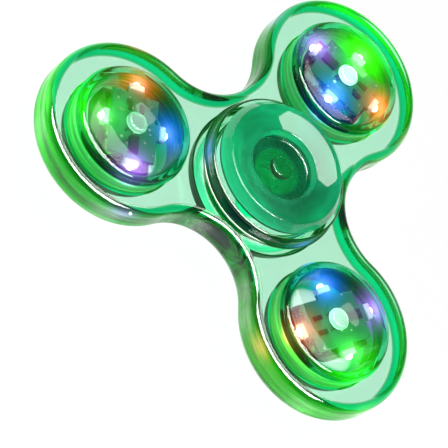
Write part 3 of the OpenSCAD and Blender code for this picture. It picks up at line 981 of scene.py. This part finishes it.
def race_profile(inner):
    """A bearing race: a ring with bevelled corners and a groove of slightly more than the ball's radius."""
    s = sizes()
    edge = 0.3 * MM
    high = RACE_HIGH[2]
    groove = BALL_R + s.ball_gap
    near, far = (s.bearing_bore, INNER_HIGH[0]) if inner else (s.outer_race_bore, RACE_HIGH[0])
    track = far if inner else near
    swing = math.degrees(math.acos(abs(PITCH_R - track) / groove))
    lip = groove * math.sin(math.radians(swing))
    if inner:
        arc = bend((PITCH_R, 0), groove, 180 + swing, 180 - swing, 24)
        return (
            joined(
                (near, edge - high),
                (near + edge, -high),
                (far - edge, -high),
                (far, edge - high),
                (far, -lip),
            )
            + [arc]
            + joined(
                (far, lip), (far, high - edge), (far - edge, high), (near + edge, high), (near, high - edge)
            )
            + [line((near, high - edge), (near, edge - high))]
        )
    arc = bend((PITCH_R, 0), groove, swing, -swing, 24)
    return (
        joined(
            (near, -lip), (near, edge - high), (near + edge, -high), (far - edge, -high), (far, edge - high)
        )
        + joined(
            (far, edge - high),
            (far, high - edge),
            (far - edge, high),
            (near + edge, high),
            (near, high - edge),
        )
        + [line((near, high - edge), (near, lip)), arc]
    )


def cell_profile(radius, thick):
    """A button cell on its side: narrow cap, gasket groove, can with rounded corners and a flat base."""
    soft, cap = 0.25 * MM, 0.78 * radius
    return (
        joined((0, 0), (cap, 0), (cap, 0.25 * MM), (radius - soft, 0.25 * MM))
        + [bend((radius - soft, 0.25 * MM + soft), soft, -90, 0, 6)]
        + [line((radius, 0.25 * MM + soft), (radius, thick - soft), 2)]
        + [bend((radius - soft, thick - soft), soft, 0, 90, 6), line((radius - soft, thick), (0, thick))]
    )


def block(skin, centre, half, place=np.eye(4), sharp=0.25, steps=24):
    """A box with rounded corners, as a superquadric: half-size times signed powers of cosine and sine."""
    u = np.linspace(-np.pi / 2, np.pi / 2, steps // 2 + 1)[:, None]
    v = np.linspace(-np.pi, np.pi, steps + 1)[None, :]

    def power(x, p):
        x = np.where(np.abs(x) < 1e-9, 0, x)
        return np.sign(x) * np.abs(x) ** p

    def shape(p):
        return np.stack(
            [
                power(np.cos(u), p) * power(np.cos(v), p),
                power(np.cos(u), p) * power(np.sin(v), p),
                power(np.sin(u), p) + 0 * v,
            ],
            2,
        )

    half = np.array(half)
    normals = shape(2 - sharp) / half
    normals /= np.maximum(np.linalg.norm(normals, axis=2), 1e-12)[..., None]
    points = centre + half * shape(sharp)
    skin.grid(points @ place[:3, :3].T + place[:3, 3], normals @ place[:3, :3].T)


# ---------------------------------------------------------------- operators


class SPINNER_OT_body(bpy.types.Operator):
    """Makes the clear three-lobed body."""

    bl_idname = "spinner.body"
    bl_label = "Clear body"

    def execute(self, context):
        centres = np.array([at_lobe(k)[:3, 3] for k in LOBES])[:, None]
        bore = (DOME_HIGH[1] - DOME_LOW[1]) / 2 + sizes().bore_edge

        def opaque_bore_walls(places, normals):
            """The bores' upright walls take the second material, an opaque green that carries painted shade
            and painted glow.
            """
            near = np.linalg.norm((places - centres)[..., :2], axis=2).min(0) < bore
            return near & (np.abs(normals[:, 2]) < 0.5)

        light = spilled(7.5 * MM, 0.8, 0.0, 1.5, 2.2, (0.1, 1.0, 0.08))
        # The tint layer paints shade on the rim, the bore walls and the hub; the glow layer is painted lamp
        # light.
        layers = {"glow": light, "tint": edge_shaded(colours().edge, 80), "pick": opaque_bore_walls}
        finishes = ["Clear green body", "Opaque green bore with painted glow"]
        make("clear_body", body_skin(), "rotor", finishes, "frame_clear_green", "frame", **layers)
        return {"FINISHED"}


class SPINNER_OT_caps(bpy.types.Operator):
    """Makes the two finger caps."""

    bl_idname = "spinner.caps"
    bl_label = "Finger caps"

    def execute(self, context):
        for name, front in (("finger_cap_front", True), ("finger_cap_rear", False)):
            skin = Skin()
            profile = cap_profile(front)
            skin.revolve(profile if front else mirrored(profile))
            side = 1 if front else -1
            finishes = ["Clear green cap", "Frosted green cap"]

            def frosted(places, normals, side=side):
                """The underside, and within the stem's radius all that doesn't face outwards."""
                upright = normals[:, 2] * side
                central = np.hypot(*places[:, :2].T) < sizes().bearing_bore
                return (upright < -0.5) | central & (upright < 0.5)

            layers = {"glow": dish_light, "tint": steady((1, 1, 1)), "pick": frosted}
            make("clear_" + name, skin, "hub_core", finishes, "cap_clear_green", name, **layers)
        return {"FINISHED"}


class SPINNER_OT_modules(bpy.types.Operator):
    """Makes the dome, rear cover and button of each light module."""

    bl_idname = "spinner.modules"
    bl_label = "Module shells"

    def execute(self, context):
        for k in LOBES:
            for part, profile, reach in (
                ("pod_dome", dome_profile(), 2.4 * MM),
                ("pod_rear_cover", mirrored(cover_profile()), 3.2 * MM),
            ):
                skin = Skin()
                skin.revolve(profile, at_lobe(k))
                light = spilled(reach, 0.8, core=2.0, lobes=(k,))
                # The tint layer paints shade on the sides and bends of dome and cover.
                layers = {"glow": light, "tint": edge_shaded(colours().edge, 4)}
                name, finish = f"{part}_{k}", ["Clear green module"]
                make("clear_" + name, skin, "rotor", finish, "module_clear_green", name, **layers)
            skin = Skin()
            skin.revolve(button_profile(), at_lobe(k), 64)
            layers = {"glow": steady(colours().button_glow), "tint": steady((1, 1, 1))}
            name, body = f"clear_button_{k}", f"button_{k}"
            make(name, skin, body, ["Clear button"], "button_clear", f"push_button_{k}", **layers)
        return {"FINISHED"}


class SPINNER_OT_bearing(bpy.types.Operator):
    """Makes the races and balls of the bearing, and finishes its cage."""

    bl_idname = "spinner.bearing"
    bl_label = "Ball bearing"

    def execute(self, context):
        for part, body in (("inner_race", "hub_core"), ("outer_race", "rotor")):
            skin = Skin()
            skin.revolve(race_profile(part == "inner_race"))
            make("ground_bearing_" + part, skin, body, ["Ground steel"], "bearing_steel", "bearing_" + part)
        skin = Skin()
        half_turn = [bend((0, 0), BALL_R, -90, 90, 24)]
        half_turn[0][0][[0, -1], 0] = 0
        balls = sizes().ball_count
        for i in range(balls):
            shift = np.eye(4)
            shift[0, 3] = PITCH_R
            skin.revolve(half_turn, turn(360 / balls * i) @ shift, 40)
        make("polished_balls", skin, "ball_cage", ["Ball steel"], "ball_steel", "bearing_balls")
        dress("bearing_cage", material_named("Cage steel"))
        return {"FINISHED"}


class SPINNER_OT_cells(bpy.types.Operator):
    """Makes the row of button cells in each module."""

    bl_idname = "spinner.cells"
    bl_label = "Button cells"

    def execute(self, context):
        radius = (CELL_HIGH[2] - CELL_LOW[2]) / 2
        row = CELL_HIGH[1] - CELL_LOW[1]
        gap, count = sizes().press_gap, sizes().cell_count
        thick = (row - gap * (count - 1)) / count
        lying = np.array(Matrix.Rotation(math.radians(-90), 4, "X"))
        for k in LOBES:
            skin = Skin()
            for i in range(count):
                shift = np.eye(4)
                shift[1, 3] = -row / 2 + i * (thick + gap)
                shift[2, 3] = (CELL_LOW[2] + CELL_HIGH[2]) / 2
                skin.revolve(cell_profile(radius, thick), at_lobe(k) @ shift @ lying, 72)
            make(f"steel_cells_{k}", skin, "rotor", ["Cell can"], "cell_steel", f"button_cells_{k}")
        return {"FINISHED"}


class SPINNER_OT_lamps(bpy.types.Operator):
    """Makes the four lit lamps of each module: a housing and a domed lens."""

    bl_idname = "spinner.lamps"
    bl_label = "Lamps"

    def execute(self, context):
        s = sizes()
        for k in LOBES:
            centre = at_lobe(k)[:3, 3]
            for i, lamp in enumerate(LAMPS):
                name = f"led_{lamp}_{k}"
                spot = middle(name)
                reach = np.linalg.norm((spot - centre)[:2]) - (s.lamp_depth + s.lens_radius) / 2
                shift = np.eye(4)
                shift[0, 3], shift[2, 3] = reach, spot[2]
                place = at_lobe(k) @ turn(90 * i) @ shift
                housing = Skin()
                half = np.array([s.lamp_depth, s.lamp_width, s.lamp_height]) / 2
                block(housing, half * (1, 0, 0), half, place, 0.2)
                make(f"housing_{name}", housing, "rotor", ["Lamp housing"], f"lamp_{lamp}", name)
                lens = Skin()
                block(lens, half * (2, 0, 0), np.full(3, s.lens_radius), place, 1.0)
                make(f"lens_{name}", lens, "rotor", [f"Lamp lens {lamp}"], f"lamp_{lamp}")
        return {"FINISHED"}


class SPINNER_OT_electronics(bpy.types.Operator):
    """Finishes the boards, switches, chips, resistors, cradles and contacts."""

    bl_idname = "spinner.electronics"
    bl_label = "Electronics"

    def execute(self, context):
        finishes = {
            "circuit_board": "Circuit board",
            "tact_switch": "Black plastic",
            "controller_chip": "Black plastic",
            "resistors": "Black plastic",
            "battery_cradle": "Black plastic",
            "contact_positive": "Brass strip",
            "contact_negative": "Tinned strip",
        }
        for k in LOBES:
            for part, finish in finishes.items():
                dress(f"{part}_{k}", material_named(finish))
        return {"FINISHED"}


class SPINNER_OT_stage(bpy.types.Operator):
    """Makes the floor, the soft lights, the surrounding light and the camera."""

    bl_idname = "spinner.stage"
    bl_label = "Stage"

    azimuth: angle("Azimuth", "Direction of the camera", -74.166)
    elevation: angle("Elevation", "Height of the camera", 50.090)
    roll: angle("Roll", "Turn of the camera about its axis", 55.113)
    distance: FloatProperty(name="Distance", description="Camera to aim", default=0.4454, unit="LENGTH")
    lens: FloatProperty(name="Lens", description="Focal length in millimetres", default=224.61)
    aim: FloatVectorProperty(
        name="Aim",
        description="Point that the camera looks at",
        default=(0.00526, -0.01066, 0.0),
        subtype="XYZ",
    )

    def camera(self):
        """Camera on a sphere about the aim, turned about its own axis by the roll."""
        a, e = self.azimuth, self.elevation
        back = Vector((math.cos(e) * math.cos(a), math.cos(e) * math.sin(a), math.sin(e)))
        level = Vector((0, 0, 1)).cross(back).normalized()
        right = level * math.cos(self.roll) + back.cross(level) * math.sin(self.roll)
        up = back.cross(right)
        data = bpy.data.cameras.new("camera")
        data.lens, data.sensor_width = self.lens, 36.0
        data.clip_start, data.clip_end = 0.01, 20.0
        camera = bpy.data.objects.new("camera", data)
        turned = Matrix((right, up, back)).transposed().to_4x4()
        camera.matrix_world = Matrix.Translation(Vector(self.aim) + back * self.distance) @ turned
        bpy.context.scene.collection.objects.link(camera)
        bpy.context.scene.camera = camera

    def floor(self):
        """Flat round floor under the lowest point, as rings of radius growing with the square of the step."""
        low = CAD_BOX[0][2]
        r = np.linspace(0, 1, 13)[:, None] ** 2 * 3.0
        t = np.linspace(0, 2 * np.pi, 65)[None, :]
        points = np.stack([r * np.cos(t), r * np.sin(t), np.full(r.shape, low) + 0 * t], 2)
        mesh = bpy.data.meshes.new("floor")
        index = np.arange(points.shape[0] * points.shape[1]).reshape(points.shape[:2])
        quads = np.stack([index[:-1, :-1], index[1:, :-1], index[1:, 1:], index[:-1, 1:]], 2).reshape(-1, 4)
        mesh.from_pydata(points.reshape(-1, 3).tolist(), [], quads.tolist())
        material, tree, shader, place = blank_material("Pale floor")
        tones = {"Dark": (0.08, 0.08, 0.08, 1), "Bright": (0.09, 0.09, 0.09, 1)}
        marks = use_group(tree, "Moulded grain", place, Scale=900.0, **tones)
        tree.links.new(marks.outputs["Color"], shader.inputs["Base Color"])
        shader.inputs["Roughness"].default_value = 0.2
        shader.inputs["Emission Color"].default_value = (1, 1, 1, 1)
        shader.inputs["Emission Strength"].default_value = 0.97
        mesh.materials.append(material)
        floor = bpy.data.objects.new("floor", mesh)
        bpy.context.scene.collection.objects.link(floor)

    def softbox(self, name, azimuth, elevation, distance, size, radiance, inside=True):
        """Area light that faces the hub. Its power in watts is radiance times pi times its area.

        With inside off it lights nothing inside the clear shells, and is only seen in their polish.
        """
        data = bpy.data.lights.new(name, "AREA")
        data.shape, data.size, data.size_y = "RECTANGLE", size[0], size[1]
        data.energy = radiance * math.pi * size[0] * size[1]
        lamp = bpy.data.objects.new(name, data)
        a, e = math.radians(azimuth), math.radians(elevation)
        back = Vector((math.cos(e) * math.cos(a), math.cos(e) * math.sin(a), math.sin(e)))
        facing = back.to_track_quat("Z", "Y").to_matrix().to_4x4()
        lamp.matrix_world = Matrix.Translation(back * distance) @ facing
        lamp.visible_diffuse = lamp.visible_transmission = inside
        bpy.context.scene.collection.objects.link(lamp)

    def surround(self):
        """Surrounding light: dim overhead, brighter at the horizon, and white where the camera sees it."""
        world = bpy.data.worlds.new("Studio")
        bpy.context.scene.world = world
        world.use_nodes = True
        tree = world.node_tree
        tree.nodes.clear()
        facing = tree.nodes.new("ShaderNodeTexCoord").outputs["Generated"]
        height = node(tree, "ShaderNodeSeparateXYZ", {"Vector": facing}).outputs["Z"]
        ramp = node(tree, "ShaderNodeValToRGB", {"Fac": height})
        ramp.color_ramp.elements[0].position = 0.0
        ramp.color_ramp.elements[0].color = (0.4, 0.4, 0.4, 1)
        ramp.color_ramp.elements[1].position = 0.55
        ramp.color_ramp.elements[1].color = (0.1, 0.1, 0.1, 1)
        seen = node(tree, "ShaderNodeBackground", {"Color": (1, 1, 1, 1), "Strength": 0.98})
        dim = node(tree, "ShaderNodeBackground", {"Color": ramp.outputs["Color"], "Strength": 1.0})
        ray = tree.nodes.new("ShaderNodeLightPath").outputs["Is Camera Ray"]
        both = node(tree, "ShaderNodeMixShader", {0: ray, 1: dim.outputs[0], 2: seen.outputs[0]})
        out = tree.nodes.new("ShaderNodeOutputWorld")
        tree.links.new(both.outputs[0], out.inputs["Surface"])

    def execute(self, context):
        self.camera()
        self.floor()
        self.softbox("overhead", 106, 73, 0.5, (0.33, 0.21), 9.5, inside=False)
        self.softbox("strip", -74, 72.5, 0.5, (0.9, 0.22), 40.0, inside=False)
        self.surround()
        scene = context.scene
        scene.view_settings.view_transform = "Standard"
        scene.cycles.max_bounces = 32
        scene.cycles.transmission_bounces = 32
        scene.cycles.glossy_bounces = 16
        return {"FINISHED"}


class SPINNER_PT_panel(bpy.types.Panel):
    """Lists the operators and settings in the sidebar."""

    bl_idname = "SPINNER_PT_panel"
    bl_label = "Hand spinner"
    bl_space_type = "VIEW_3D"
    bl_region_type = "UI"
    bl_category = "Spinner"

    def draw(self, context):
        for maker in MAKERS:
            self.layout.operator(maker.bl_idname)
        for group_name in ("spinner_sizes", "spinner_colours"):
            box = self.layout.box()
            settings = getattr(context.scene, group_name)
            for key in settings.__annotations__:
                box.prop(settings, key)


MAKERS = (
    SPINNER_OT_body,
    SPINNER_OT_caps,
    SPINNER_OT_modules,
    SPINNER_OT_bearing,
    SPINNER_OT_cells,
    SPINNER_OT_lamps,
    SPINNER_OT_electronics,
    SPINNER_OT_stage,
)
CLASSES = (SpinnerSizes, SpinnerColours, *MAKERS, SPINNER_PT_panel)


def register():
    """Registers the classes and hangs the settings on the scene."""
    for cls in CLASSES:
        bpy.utils.register_class(cls)
    bpy.types.Scene.spinner_sizes = PointerProperty(type=SpinnerSizes)
    bpy.types.Scene.spinner_colours = PointerProperty(type=SpinnerColours)


def unregister():
    """Takes the settings and classes away again."""
    del bpy.types.Scene.spinner_colours
    del bpy.types.Scene.spinner_sizes
    for cls in reversed(CLASSES):
        bpy.utils.unregister_class(cls)


def main():
    """Makes every piece and the stage."""
    register()
    for maker in MAKERS:
        area, name = maker.bl_idname.split(".")
        getattr(getattr(bpy.ops, area), name)()


if __name__ == "__main__":
    main()
